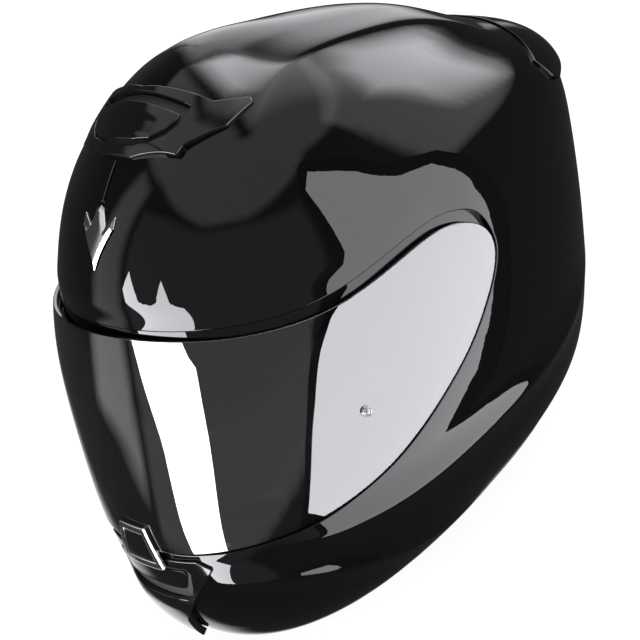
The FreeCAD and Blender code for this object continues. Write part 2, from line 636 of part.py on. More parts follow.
section.addConstraint(Sketcher.Constraint("DistanceX", 2, 2, 2, 1, WALL))
section.addConstraint(Sketcher.Constraint("DistanceX", 6, 2, 6, 1, WALL))
section.addConstraint(Sketcher.Constraint("DistanceY", 6, 1, 2, 2, 0))
channel = body.newObject("PartDesign::Pad", "HousingLength")
channel.Profile = section
channel.setExpression("Length", "Sizes.buckle_length")
show(body, "buckle_housing")
HINGE_X, HINGE_Z = "38", "16.2"
hinge_pin = peg("HingePin", "1.5", "Sizes.buckle_width - 3.2", HINGE_X, "Sizes.strap_y - Sizes.buckle_width / 2 + 1.6",
                HINGE_Z, ALONG_Y)
show(hinge_pin, "buckle_pin")
EDGE_Y = "Sizes.strap_y - Sizes.buckle_width / 2 + 2.2"
cover_plate = block("LeverPlate", ("36", "Sizes.buckle_width - 4.4", "2.6"), ("2", EDGE_Y, "15.8"))
eye = peg("LeverEye", "3.0", "Sizes.buckle_width - 4.4", HINGE_X, EDGE_Y, HINGE_Z, ALONG_Y)
eye_bore = peg("LeverBore", "1.56", "40", HINGE_X, "Sizes.strap_y - 20", HINGE_Z, ALONG_Y)
pull = block("LeverPull", ("5", "Sizes.buckle_width - 10", "4.4"),
             ("-2.5", "Sizes.strap_y - Sizes.buckle_width / 2 + 5", "15.8"))
lever_arm = less("BuckleLever", joined("LeverBody", [cover_plate, eye, pull]), [eye_bore])
show(lever_arm, "buckle_lever")
tongue = less("Tongue", block("TonguePlate", ("60", "20", "1.8"), ("-30", "Sizes.strap_y - 10", "11.5")),
              [block(f"TongueSlot{k}", ("1.2", "14", "1"), (f"{2 + 3.6 * k}", "Sizes.strap_y - 7", "12.6"))
               for k in range(7)])
show(tongue, "buckle_tongue")

# ---------------------------------------------------------------- checks and export
doc.recompute()
for part in doc.Objects:
    if "Invalid" in part.State or "Error" in part.State:
        raise RuntimeError(f"{part.Label}: {part.State}")
names = [part.Label for part in NODES]
if len(set(names)) != len(names) or len(names) > 60:
    raise RuntimeError("node names must differ, and there may be 60 at most")
os.makedirs("parts", exist_ok=True)
for part in NODES:
    if part.Shape.isNull() or not part.Shape.isValid():
        raise RuntimeError(f"{part.Label}: no sound shape")
    part.Shape.exportStep(f"parts/{part.Label}.step")
print(len(NODES), "parts written")
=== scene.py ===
"""The looks of a full-face motorcycle helmet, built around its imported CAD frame.

Shapes are worked out in millimetres in the frame of the CAD part (-Y the way the face looks, +X the
wearer's left, +Z up) and written to meshes in metres.
"""

import json
import math

import bmesh
import bpy
import numpy as np
from mathutils import Matrix, Vector


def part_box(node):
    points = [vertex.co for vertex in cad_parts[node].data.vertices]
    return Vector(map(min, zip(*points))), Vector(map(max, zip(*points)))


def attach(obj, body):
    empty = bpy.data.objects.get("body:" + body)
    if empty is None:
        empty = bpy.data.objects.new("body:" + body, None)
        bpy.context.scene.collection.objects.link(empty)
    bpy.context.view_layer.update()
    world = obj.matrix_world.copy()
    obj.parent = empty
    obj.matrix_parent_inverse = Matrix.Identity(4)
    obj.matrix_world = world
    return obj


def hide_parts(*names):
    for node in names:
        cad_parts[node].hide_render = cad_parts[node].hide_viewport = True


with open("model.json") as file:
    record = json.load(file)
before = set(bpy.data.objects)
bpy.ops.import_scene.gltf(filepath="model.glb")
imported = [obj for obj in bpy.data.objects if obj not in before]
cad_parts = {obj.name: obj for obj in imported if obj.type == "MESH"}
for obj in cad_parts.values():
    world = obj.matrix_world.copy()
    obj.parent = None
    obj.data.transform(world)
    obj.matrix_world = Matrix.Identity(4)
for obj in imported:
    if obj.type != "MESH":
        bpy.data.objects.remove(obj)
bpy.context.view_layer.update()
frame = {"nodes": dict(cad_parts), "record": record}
NODES = frame["nodes"]
MM = 0.001

# ------------------------------------------------------------------ the helmet's skin
FRONT = [(-106, -8), (-128, 0), (-151, 8), (-167, 26), (-173, 52), (-170, 81), (-162, 109), (-152, 137),
         (-141, 165), (-125.5, 197), (-103, 233), (-62, 265), (-4, 280)]
SIDE = [(65, -8), (76, 8), (89, 22), (102, 48), (112, 80), (118.5, 111), (122.5, 141), (124, 170),
        (119, 197), (103, 225), (79, 251), (43, 270), (0, 280)]
REAR = [(99, -8), (108, 14), (122, 24), (136, 50), (148, 82), (159, 115), (168, 143), (173, 167),
        (163, 187), (137, 208), (104, 236), (52, 261), (-4, 280)]
FRONT_SQUARENESS, REAR_SQUARENESS = 2.15, 2.35
MIDDLE_Y = -4.0

VISOR_EDGE = [(-230, 88), (-170, 88), (-128, 86.5), (-99, 88), (-77, 91.5), (-56, 98), (-36, 106),
              (-16, 115.5), (1, 127), (12, 136.5), (19.5, 147), (20.5, 158), (15, 168), (5, 175.5),
              (-9, 180.5), (-30, 182), (-55, 181.5), (-77, 182.5), (-97, 186), (-114, 190.5), (-128, 195.5),
              (-160, 203), (-230, 212)]
RECESS_EDGE = [(-230, 86.4), (-170, 86.4), (-128, 84.9), (-99, 86.4), (-76.5, 90), (-55.4, 96.5),
               (-35.3, 104.6), (-15.2, 114.1), (2, 125.7), (13.3, 135.5), (21.2, 146.5), (22.5, 158.6),
               (18.6, 171), (8.5, 179.3), (-7, 184.3), (-30, 185.8), (-55, 185.2), (-77, 185.8),
               (-97, 188.8), (-114, 192.8), (-128, 197.4), (-160, 204.8), (-230, 213.6)]
PORT_EDGE = [(-230, 100), (-160, 100), (-130, 99.5), (-98, 103), (-72, 112), (-53, 125), (-43, 139),
             (-42, 152), (-50, 163), (-66, 168), (-92, 172.5), (-118, 181), (-150, 186), (-230, 190)]
CREASE = [(-150, 80), (-123, 76), (-87, 69), (-56, 65), (-20, 62), (28, 60), (70, 64), (110, 74)]
RIM = [(-230, 0), (-128, 0), (-60, 5), (0, 8), (60, 11.5), (120, 14), (230, 16)]
TRIM = 2.2
VISOR_WALL = 2.2
RECESS = 3.4


def natural(points):
    """A natural cubic spline through points, whose parameter counts them."""
    p = np.array(points, float)
    m = len(p)
    a = np.zeros((m, m))
    b = np.zeros_like(p)
    a[0, 0] = a[-1, -1] = 1
    for i in range(1, m - 1):
        a[i, i - 1:i + 2] = 1, 4, 1
        b[i] = 6 * (p[i + 1] - 2 * p[i] + p[i - 1])
    bend = np.linalg.solve(a, b)

    def value(t):
        t = np.asarray(t, float)
        k = np.clip(np.floor(t).astype(int), 0, m - 2)
        v = (t - k)[..., None]
        u = 1 - v
        return (bend[k] * u ** 3 / 6 + bend[k + 1] * v ** 3 / 6
                + (p[k] - bend[k] / 6) * u + (p[k + 1] - bend[k + 1] / 6) * v)

    return value


COUNT = len(FRONT) - 1
MIDDLE_LINE = natural(FRONT + REAR[-2::-1])
ACROSS_LINE = natural(SIDE + [(-x, z) for x, z in SIDE[-2::-1]])


def step(low, high, x):
    """0 below low, 1 above high, with a soft step between."""
    t = np.clip((x - low) / (high - low), 0, 1)
    return t * t * (3 - 2 * t)


def plain(turn, level):
    """The bare skin: turn 0 front, half pi the wearer's left, pi rear; level 0 lowest, 1 crown."""
    turn, level = np.broadcast_arrays(np.asarray(turn, float), np.asarray(level, float))
    c, s = np.cos(turn), np.sin(turn)
    place = level * COUNT
    near = MIDDLE_LINE(np.where(c > 0, place, 2 * COUNT - place))
    flank = ACROSS_LINE(place)
    reach = np.maximum(np.abs(near[..., 0] - MIDDLE_Y), 1e-6)
    half = np.maximum(np.abs(flank[..., 0]), 1e-6)
    square = np.where(c > 0, FRONT_SQUARENESS, REAR_SQUARENESS)
    square = 2 + (square - 2) * (1 - level ** 4)
    r = ((np.abs(c) / reach) ** square + (np.abs(s) / half) ** square) ** (-1 / square)
    z = flank[..., 1] + (near[..., 1] - flank[..., 1]) * c * c
    return np.stack([r * s, MIDDLE_Y - r * c, z], -1)


def normals(position, turn, level, small=6e-4):
    """Outward unit normals of any surface given as position(turn, level)."""
    high = np.minimum(level + small, 0.9995)
    a = position(turn + small, level) - position(turn - small, level)
    b = position(turn, high) - position(turn, level - small)
    n = np.cross(a, b)
    return n / np.maximum(np.linalg.norm(n, axis=-1, keepdims=True), 1e-12)


def along(points, count):
    """Points spread evenly along the natural spline through points."""
    return natural(points)(np.linspace(0, len(points) - 1, count))


def above(p, line):
    """Height of points above a line given in the side view."""
    return p[..., 2] - np.interp(p[..., 1], line[:, 0], line[:, 1])


def rounded(x, radius):
    """The size of x, with its corner at nought rounded off."""
    return np.sqrt(x * x + radius * radius) - radius


def crest(offset, radius, width):
    """A rounded crest, 1 on its line and down to 0 at about width away."""
    return np.maximum(0, 1 - rounded(offset, radius) / width) ** 2


CHIN_LINE = [(-175, 71), (-150, 64), (-120, 49), (-80, 29), (-40, 16), (0, 6)]
FIRST_BROW_POINT = 14
BROW_FINE = along(VISOR_EDGE[:FIRST_BROW_POINT - 1:-1], 1200)
CREASE_FINE = along(CREASE, 1200)
CHIN_FINE = along(CHIN_LINE, 1200)
RIDGE_X = 60.0
BROW_DIP, SIDE_CREST, CHIN_CREST, TOP_RIDGE = 2.0, 2.6, 1.5, 2.2


def features(p):
    """How far the moulded shell stands out of its bare skin."""
    x, y, z = np.abs(p[..., 0]), p[..., 1], p[..., 2]
    over = above(p, BROW_FINE)
    dip = step(-26, -8, over) * (1 - step(1, 17, over)) * (1 - step(-12, 22, y))
    side = crest(above(p, CREASE_FINE), 1.6, 17) * step(-150, -110, y)
    side = side * (1 - step(60, 120, y)) * step(40, 80, x)
    chin = crest(above(p, CHIN_FINE), 1.0, 14) * (1 - step(-60, -10, y)) * step(32, 54, x)
    ridge = crest(x - RIDGE_X, 2.0, 24) * step(-30, 20, y) * (1 - step(105, 135, y)) * step(190, 215, z)
    return SIDE_CREST * side + CHIN_CREST * chin + TOP_RIDGE * ridge - BROW_DIP * dip


def skin(lift=0.0, shaped=True):
    """A surface position(turn, level) that stands lift outside the shell's own skin."""

    def position(turn, level):
        turn, level = np.broadcast_arrays(np.asarray(turn, float), np.asarray(level, float))
        p = plain(turn, level)
        n = normals(plain, turn, level)
        out = lift(p) if callable(lift) else lift
        if shaped:
            out = out + features(p)
        return p + n * np.asarray(out)[..., None] * np.ones_like(p)

    return position


# ------------------------------------------------------------------ outlines and distances
def smooth_line(points, per=8):
    """A spline through points, with per pieces between each two of them."""
    return along(points, per * (len(points) - 1) + 1)


def outline_distance(line, plane):
    """Signed distance to a closed outline (negative inside), in the plane named by two axes."""
    a = np.asarray(line, float)
    b = np.roll(a, -1, axis=0)
    i, j = plane

    def distance(p):
        flat = p.reshape(-1, 3)
        q = np.stack([np.abs(flat[:, i]) if i == 0 else flat[:, i], flat[:, j]], -1)
        out = np.empty(len(q))
        for start in range(0, len(q), 20000):
            part = q[start:start + 20000, None, :]
            way = b - a
            t = np.clip(((part - a) * way).sum(-1) / (way ** 2).sum(-1), 0, 1)
            gap = np.linalg.norm(part - (a + t[..., None] * way), axis=-1).min(1)
            level_between = (a[:, 1] > part[..., 1]) != (b[:, 1] > part[..., 1])
            with np.errstate(divide="ignore", invalid="ignore"):
                cut = a[:, 0] + (part[..., 1] - a[:, 1]) * way[:, 0] / way[:, 1]
            inside = ((level_between & (part[..., 0] < cut)).sum(1) % 2) == 1
            out[start:start + 20000] = np.where(inside, -gap, gap)
        return out.reshape(p.shape[:-1])

    return distance


SIDE_VIEW, TOP_VIEW, FRONT_VIEW = (1, 2), (0, 1), (0, 2)
visor_line = outline_distance(smooth_line(VISOR_EDGE), SIDE_VIEW)
recess_line = outline_distance(smooth_line(RECESS_EDGE), SIDE_VIEW)
port_line = outline_distance(smooth_line(PORT_EDGE), SIDE_VIEW)


def over_rim(p, by=0.0):
    """Height above the shell's lower edge, less by."""
    return above(p, np.array(RIM)) - by


# ------------------------------------------------------------------ meshes cut out of a skin
def trimmed(position, outside, turns, levels, whole=False):
    """Cuts the part of a skin where outside(p) < 0 out of a grid, exactly along its edge.

    Returns points, unit normals, faces, and the edge loops' directed segments. whole means that the
    turns go once round, so the last column meets the first, and that the crown is closed.
    """
    t, l = np.meshgrid(turns, levels, indexing="ij")
    p = position(t, l)
    f = outside(p)
    cols, rows = p.shape[:2]
    ids = -np.ones((cols, rows), int)
    keep = f < 0
    ids[keep] = np.arange(keep.sum())
    at_t, at_l = [t[keep]], [l[keep]]
    total = int(keep.sum())
    span = turns[1] - turns[0]
    cross = {}
    pairs = []
    shift = 1 if whole else 0
    nxt = (np.arange(cols) + 1) % cols
    for kind in (0, 1):
        if kind == 0:
            i0, j0 = np.meshgrid(np.arange(cols if whole else cols - 1), np.arange(rows), indexing="ij")
            i1, j1 = nxt[i0], j0
        else:
            i0, j0 = np.meshgrid(np.arange(cols), np.arange(rows - 1), indexing="ij")
            i1, j1 = i0, j0 + 1
        mixed = keep[i0, j0] != keep[i1, j1]
        i0, j0, i1, j1 = i0[mixed], j0[mixed], i1[mixed], j1[mixed]
        if not len(i0):
            continue
        t0, l0 = t[i0, j0], l[i0, j0]
        t1, l1 = (t0 + span, l0) if kind == 0 else (t0, l[i1, j1])
        low, high = f[i0, j0], f[i1, j1]
        a, b = np.zeros(len(i0)), np.ones(len(i0))
        s = low / (low - high)
        for _ in range(4):
            value = outside(position(t0 + (t1 - t0) * s, l0 + (l1 - l0) * s))
            same = (value < 0) == (low < 0)
            a, low = np.where(same, s, a), np.where(same, value, low)
            b, high = np.where(same, b, s), np.where(same, high, value)
            s = a + (b - a) * np.clip(low / np.where(low == high, 1, low - high), 0.02, 0.98)
        at_t.append(t0 + (t1 - t0) * s)
        at_l.append(l0 + (l1 - l0) * s)
        for k in range(len(i0)):
            cross[(i0[k], j0[k], kind)] = total + k
        total += len(i0)
    at_t, at_l = np.concatenate(at_t), np.concatenate(at_l)
    points = position(at_t, at_l)
    facing = normals(position, at_t, at_l)
    faces, edge = [], []
    last = cols if whole else cols - 1
    ci, cj = np.meshgrid(np.arange(last), np.arange(rows - 1), indexing="ij")
    ni = nxt[ci]
    count = keep[ci, cj] * 1 + keep[ni, cj] + keep[ni, cj + 1] + keep[ci, cj + 1]
    full = count == 4
    faces += np.stack([ids[ci, cj], ids[ni, cj], ids[ni, cj + 1], ids[ci, cj + 1]], -1)[full].tolist()
    part = (count > 0) & ~full
    for i, j in zip(ci[part], cj[part]):
        n = nxt[i]
        corners = [(i, j), (n, j), (n, j + 1), (i, j + 1)]
        sides = [(i, j, 0), (n, j, 1), (i, j + 1, 0), (i, j, 1)]
        loop, mark = [], []
        for k in range(4):
            here, there = corners[k], corners[(k + 1) % 4]
            if keep[here]:
                loop.append(ids[here])
                mark.append(False)
            if keep[here] != keep[there]:
                loop.append(cross[sides[k]])
                mark.append(True)
        if len(loop) >= 3:
            faces.append(loop)
        for k in range(len(loop)):
            if mark[k] and mark[(k + 1) % len(loop)]:
                edge.append((loop[k], loop[(k + 1) % len(loop)]))
    if whole and keep[:, -1].all():
        apex = len(points)
        points = np.vstack([points, position(0.0, 0.99995)[None]])
        facing = np.vstack([facing, [[0, 0, 1]]])
        faces += [[ids[i, -1], ids[nxt[i], -1], apex] for i in range(cols)]
    return points, facing, faces, edge


def outward(points, facing, outside):
    """The way out of the cut at its edge, within the skin."""
    small = 0.05
    grad = np.stack([outside(points + np.eye(3)[k] * small) - outside(points - np.eye(3)[k] * small)
                     for k in range(3)], -1)
    grad = grad - (grad * facing).sum(-1, keepdims=True) * facing
    return grad / np.maximum(np.linalg.norm(grad, axis=-1, keepdims=True), 1e-9)


def to_object(name, points, facing, faces, material):
    """A mesh object in metres with the normals that were worked out."""
    mesh = bpy.data.meshes.new(name)
    mesh.from_pydata((np.asarray(points) * MM).tolist(), [], faces)
    mesh.update()
    mesh.shade_smooth()
    if facing is not None:
        mesh.normals_split_custom_set_from_vertices(np.asarray(facing).tolist())
    obj = bpy.data.objects.new(name, mesh)
    bpy.context.scene.collection.objects.link(obj)
    if material:
        mesh.materials.append(material)
    return obj


def moulded(name, position, outside, turns, levels, material, wall, radius=0.6, whole=False, closed=True):
    """A wall cut out of a skin: rounded edges all round, wall deep, with its inner face if closed."""
    points, facing, faces, edge = trimmed(position, outside, turns, levels, whole)
    rim = sorted({a for pair in edge for a in pair})
    at = {v: k for k, v in enumerate(rim)}
    base, normal = points[rim], facing[rim]
    way = outward(base, normal, outside)
    rings = []
    for angle in np.linspace(0, 0.5 * math.pi, 5)[1:]:
        rings.append((base + way * radius * math.sin(angle) - normal * radius * (1 - math.cos(angle)),
                      normal * math.cos(angle) + way * math.sin(angle)))
    deep = wall - radius if closed else wall
    rings.append((base + way * radius - normal * deep, way))
    if closed:
        for angle in np.linspace(0, 0.5 * math.pi, 4)[1:-1]:
            rings.append((base + way * radius * math.cos(angle) - normal * (deep + radius * math.sin(angle)),
                          way * math.cos(angle) - normal * math.sin(angle)))
    all_points, all_facing = [points], [facing]
    rows = [np.array(rim)]
    total = len(points)
    for ring, turned in rings:
        all_points.append(ring)
        all_facing.append(turned)
        rows.append(total + np.arange(len(rim)))
        total += len(rim)
    if closed:
        inner = total + np.arange(len(points))
        all_points.append(points - facing * wall)
        all_facing.append(-facing)
        rows.append(inner[rim])
        faces = faces + [[int(inner[v]) for v in reversed(face)] for face in faces]
    strips = [[int(rows[k][at[b]]), int(rows[k][at[a]]), int(rows[k + 1][at[a]]), int(rows[k + 1][at[b]])]
              for a, b in edge for k in range(len(rows) - 1)]
    return to_object(name, np.vstack(all_points), np.vstack(all_facing), faces + strips, material)


# ------------------------------------------------------------------ materials
def shader(name, color, roughness, **more):
    """A material with one Principled shader, its tree and that shader."""
    mat = bpy.data.materials.new(name)
    mat.use_nodes = True
    tree = mat.node_tree
    node = tree.nodes["Principled BSDF"]
    node.inputs["Base Color"].default_value = (*color, 1)
    node.inputs["Roughness"].default_value = roughness
    for key, value in more.items():
        node.inputs[key.replace("_", " ")].default_value = value
    return mat, tree, node


def add(tree, kind, **settings):
    """A node with its properties and sockets set."""
    node = tree.nodes.new(kind)
    for key, value in settings.items():
        if hasattr(node, key):
            setattr(node, key, value)
        else:
            node.inputs[key].default_value = value
    return node


def noise(tree, scale, detail=3.0, rough=0.5, stretch=None):
    """A noise texture on object coordinates."""
    coord = add(tree, "ShaderNodeTexCoord")
    tex = add(tree, "ShaderNodeTexNoise", Scale=scale, Detail=detail, Roughness=rough)
    if stretch:
        mapping = add(tree, "ShaderNodeMapping", Scale=stretch)
        tree.links.new(coord.outputs["Object"], mapping.inputs["Vector"])
        tree.links.new(mapping.outputs["Vector"], tex.inputs["Vector"])
    else:
        tree.links.new(coord.outputs["Object"], tex.inputs["Vector"])
    return tex


def ramp(tree, source, low, high, out_low, out_high):
    """A value from source, between two limits, as a new range."""
    limits = {"From Min": low, "From Max": high, "To Min": out_low, "To Max": out_high}
    node = add(tree, "ShaderNodeMapRange", **limits)
    tree.links.new(source, node.inputs["Value"])
    return node.outputs["Result"]


def bump(tree, node, height, strength, distance):
    """Relief from a height, in metres, on a shader's normal."""
    b = add(tree, "ShaderNodeBump", Strength=strength, Distance=distance)
    tree.links.new(height, b.inputs["Height"])
    tree.links.new(b.outputs["Normal"], node.inputs["Normal"])
    return b


def mixed_colours(tree, node, factor, dark, light):
    """Mixes two colours into a shader's base colour."""
    shade = add(tree, "ShaderNodeMix", data_type="RGBA")
    shade.inputs["A"].default_value = (*dark, 1)
    shade.inputs["B"].default_value = (*light, 1)
    tree.links.new(factor, shade.inputs["Factor"])
    tree.links.new(shade.outputs["Result"], node.inputs["Base Color"])


def gloss_paint(name, color, roughness, coat, coat_roughness):
    """Lacquer: a dark ground under clear coat, with the faintest orange peel."""
    mat, tree, node = shader(name, color, roughness, Coat_Weight=coat, Coat_Roughness=coat_roughness,
                             Coat_IOR=1.5, Specular_IOR_Level=0.0)
    peel = noise(tree, 260.0, 2.0, 0.4)
    b = bump(tree, node, peel.outputs["Fac"], 0.02, 0.0003)
    tree.links.new(b.outputs["Normal"], node.inputs["Coat Normal"])
    haze = noise(tree, 9.0, 4.0, 0.6)
    tree.links.new(ramp(tree, haze.outputs["Fac"], 0.35, 0.7, roughness, roughness + 0.05),
                   node.inputs["Roughness"])
    return mat


def plastic(name, color, roughness, grain=900.0, depth=0.00002):
    """Moulded plastic with a fine spark-eroded grain."""
    mat, tree, node = shader(name, color, roughness)
    fine = noise(tree, grain, 3.0, 0.6)
    bump(tree, node, fine.outputs["Fac"], 0.35, depth)
    cloud = noise(tree, 25.0, 4.0, 0.6)
    tree.links.new(ramp(tree, cloud.outputs["Fac"], 0.3, 0.7, roughness - 0.04, roughness + 0.06),
                   node.inputs["Roughness"])
    return mat


def foam(name, color):
    """Moulded beads of expanded polystyrene."""
    mat, tree, node = shader(name, color, 0.75)
    coord = add(tree, "ShaderNodeTexCoord")
    beads = add(tree, "ShaderNodeTexVoronoi", feature="DISTANCE_TO_EDGE", Scale=330.0)
    tree.links.new(coord.outputs["Object"], beads.inputs["Vector"])
    bump(tree, node, ramp(tree, beads.outputs["Distance"], 0.0, 0.12, 0.0, 1.0), 0.6, 0.0004)
    mixed_colours(tree, node, ramp(tree, beads.outputs["Distance"], 0.0, 0.1, 0.0, 1.0),
                  [c * 0.55 for c in color], color)
    return mat


def cloth(name, color, scale=1500.0, sheen=0.35):
    """A knitted lining: small raised stitches, soft sheen and slow changes of shade."""
    mat, tree, node = shader(name, color, 0.9, Sheen_Weight=sheen, Sheen_Roughness=0.45)
    coord = add(tree, "ShaderNodeTexCoord")
    knit = add(tree, "ShaderNodeTexVoronoi", feature="F1", Scale=scale)
    tree.links.new(coord.outputs["Object"], knit.inputs["Vector"])
    bump(tree, node, knit.outputs["Distance"], 0.5, 0.0005)
    cloud = noise(tree, 40.0, 4.0, 0.6)
    mixed_colours(tree, node, cloud.outputs["Fac"], [c * 0.7 for c in color], [c * 1.3 for c in color])
    return mat


def woven(name, color):
    """Chin strap webbing: ribs along the strap crossed by fine threads."""
    mat, tree, node = shader(name, color, 0.7, Sheen_Weight=0.25, Sheen_Roughness=0.4)
    coord = add(tree, "ShaderNodeTexCoord")
    ribs = add(tree, "ShaderNodeTexWave", wave_type="BANDS", bands_direction="Y", Scale=260.0)
    tree.links.new(coord.outputs["Object"], ribs.inputs["Vector"])
    picks = add(tree, "ShaderNodeTexWave", wave_type="BANDS", bands_direction="DIAGONAL", Scale=420.0)
    tree.links.new(coord.outputs["Object"], picks.inputs["Vector"])
    both = add(tree, "ShaderNodeMath", operation="ADD")
    tree.links.new(ribs.outputs["Fac"], both.inputs[0])
    tree.links.new(picks.outputs["Fac"], both.inputs[1])
    bump(tree, node, both.outputs["Value"], 0.7, 0.0004)
    return mat


def metal(name, color, roughness):
    """Bare or plated metal, brushed one way."""
    mat, tree, node = shader(name, color, roughness, Metallic=1.0)
    fine = noise(tree, 300.0, 3.0, 0.6, stretch=(1, 8, 1))
    tree.links.new(ramp(tree, fine.outputs["Fac"], 0.3, 0.7, roughness * 0.8, roughness * 1.3),
                   node.inputs["Roughness"])
    bump(tree, node, fine.outputs["Fac"], 0.06, 0.0001)
    return mat


def tinted(name, color, ior, roughness=0.0, transmission=1.0):
    """Clear or smoked plastic, with a few dust specks in its gloss."""
    mat, tree, node = shader(name, color, roughness, IOR=ior, Transmission_Weight=transmission)
    dust = noise(tree, 1400.0, 2.0, 0.5)
    tree.links.new(ramp(tree, dust.outputs["Fac"], 0.72, 0.8, roughness, roughness + 0.1),
                   node.inputs["Roughness"])
    return mat


PAINT = gloss_paint("gloss_black", (0.0022, 0.0022, 0.0025), 0.16, 0.86, 0.012)
SATIN = gloss_paint("satin_black", (0.004, 0.004, 0.0044), 0.3, 1.0, 0.07)
MATTE = plastic("matte_black", (0.012, 0.012, 0.012), 0.55)
RUBBER = plastic("black_rubber", (0.014, 0.014, 0.014), 0.62, 500.0)
TRIM_GREY = plastic("edge_rubber", (0.05, 0.05, 0.052), 0.5, 500.0)
SMOKE = tinted("smoke", (0.08, 0.08, 0.085), 2.2)
CLEAR = tinted("clear_lens", (0.85, 0.87, 0.88), 1.58)
FOAM = foam("foam_dark", (0.03, 0.03, 0.032))
LINING = cloth("liner_cloth", (0.018, 0.018, 0.02))
WEBBING = woven("webbing", (0.012, 0.012, 0.013))
STEEL = metal("steel", (0.55, 0.55, 0.56), 0.28)
CHROME = metal("bright", (0.82, 0.82, 0.83), 0.07)
PIN = tinted("pin_plastic", (0.42, 0.42, 0.43), 1.5, 0.15, 0.6)
SLOTS = {"gloss_black": PAINT, "satin_black": SATIN, "matte_black": MATTE, "black_rubber": RUBBER,
         "smoke": SMOKE, "clear_lens": CLEAR, "foam_dark": FOAM, "liner_cloth": LINING, "webbing": WEBBING,
         "steel": STEEL, "bright": CHROME}
for part in frame["record"]["subparts"]:
    mesh = NODES[part["node"]].data
    mesh.materials.clear()
    mesh.materials.append(SLOTS[part["material_slot"]])
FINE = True
DENSE = 1.0 if FINE else 0.45


def grid(low, high, count):
    return np.linspace(low, high, max(8, int(count * DENSE)))


def held(obj, body, slot_name, *nodes):
    """Rides on a body and stands for CAD nodes, which it hides; slot_name is not used."""
    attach(obj, body)
    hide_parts(*nodes)
    return obj


# ------------------------------------------------------------------ shell
columns = int(840 * DENSE)
around = np.arange(0, columns) / columns * 2 * math.pi
up = grid(0.02, 0.9985, 400)
shell = moulded("shell_outer_face", skin(0.0),
                lambda p: np.maximum(0.8 - recess_line(p), -over_rim(p, TRIM + 0.8)),
                around, up, PAINT, 4.2, radius=0.8, whole=True, closed=False)
held(shell, "helmet", "gloss_black", "outer_shell")
recess_turns, recess_levels = grid(-1.95, 1.95, 420), grid(0.36, 0.84, 260)
recess = moulded("shell_visor_recess", skin(-RECESS, shaped=False),
                 lambda p: np.maximum(recess_line(p) - 2.0, -port_line(p)),
                 recess_turns, recess_levels, PAINT, 1.6, radius=0.5)
held(recess, "helmet", "gloss_black")


# ------------------------------------------------------------------ visor
def visor_face(p):
    """The visor stands a little prouder in front than at its lobes."""
    return 1.2 + 1.0 * (1 - step(-120, -60, p[..., 1]))


def gasket_face(p):
    """The seal lies just under the visor, and deeper where the visor's edge turns past it."""
    turning = step(-78, -58, p[..., 1]) * (1 - step(-18, -6, p[..., 1]))
    return visor_face(p) - VISOR_WALL - 0.45 - 0.75 * turning


visor = moulded("visor_shield", skin(visor_face, shaped=False), lambda p: visor_line(p) + 1.1,
                recess_turns, recess_levels, SMOKE, VISOR_WALL, radius=0.5)
held(visor, "visor", "smoke", "visor")
gasket = moulded("eye_port_seal", skin(gasket_face, shaped=False),
                 lambda p: np.maximum(port_line(p) - 6.0, 1.0 - port_line(p)),
                 recess_turns, recess_levels, RUBBER, 1.2, radius=0.5)
held(gasket, "helmet", "black_rubber", "eye_port_gasket")

# ------------------------------------------------------------------ things on the outside
COVER = [(0, -72), (13, -72), (41, -64), (42, -59), (56, -41), (60, -24), (57, -22), (44, -33.5), (0, -38.5)]
GROOVE = [(0, -67.6), (13, -66.8), (23.5, -63.6), (31, -58), (35, -51.5), (36.2, -41.5), (0, -41.5)]
SLIDER = [(0, -66.5), (12.5, -65.7), (22.5, -62.7), (29.6, -57.4), (33.6, -51.2), (34.6, -47.6), (0, -47.6)]


def closed_outline(half):
    """Closes half an outline across the middle; distances fold both sides onto the wearer's left."""
    return half + [(-30, half[-1][1]), (-30, half[0][1])]


def cover_face(p):
    """The shroud rises from its front edge, most of all in the middle."""
    side = 1 - step(30, 58, np.abs(p[..., 0]))
    return 1.2 + 2.8 * side * step(-74, -62, p[..., 1]) + 0.5 * step(-60, -45, p[..., 1])


cover_line = outline_distance(closed_outline(COVER), TOP_VIEW)
groove_line = outline_distance(closed_outline(GROOVE), TOP_VIEW)
slider_line = outline_distance(closed_outline(SLIDER), TOP_VIEW)
top_turns, top_levels = grid(-1.5, 1.5, 420), grid(0.80, 0.985, 150)
cover = moulded("forehead_vent_shroud", skin(cover_face, shaped=False),
                lambda p: np.maximum(cover_line(p) + 0.8, 0.8 - groove_line(p)),
                top_turns, top_levels, SATIN, 4.0, radius=0.7, closed=False)
held(cover, "helmet", "satin_black", "forehead_vent_cover")
pocket = moulded("forehead_vent_pocket", skin(1.2), lambda p: groove_line(p) - 0.6, top_turns, top_levels,
                 MATTE, 1.0, radius=0.3, closed=False)
held(pocket, "helmet", "matte_black")


def slider_face(p):
    """The slider is hollowed behind its front lip, where a finger pushes it."""
    y = p[..., 1]
    hollow = step(-62, -59, y) * (1 - step(-54, -50, y)) * (1 - step(18, 28, np.abs(p[..., 0])))
    return cover_face(p) + 0.6 - 0.3 * hollow


slider = moulded("forehead_vent_slide", skin(slider_face, shaped=False),
                 lambda p: slider_line(p) + 0.6, top_turns, top_levels, SATIN, 1.8, radius=0.6)
held(slider, "forehead_slider", "satin_black", "forehead_vent_slider")

COWL = [(0, 83.5), (37, 83.5), (45, 78), (29, 62), (14, 44), (7, 24), (0, 24)]
WINDOW = [(0, 78.3), (28, 78.3), (30.5, 75.8), (26.5, 62.5), (22.5, 60), (0, 60)]
SHUTTER = [(0, 77.5), (26.4, 77.5), (28.3, 75.8), (24.2, 66.6), (22.5, 66), (0, 66)]


def cowl_face(p):
    """The cowl swells below its window, towards a beak in the middle."""
    lower = 1 - step(52, 68, p[..., 2])
    return 1.4 + lower * (2.4 + 0.8 * (1 - step(14, 30, np.abs(p[..., 0]))))


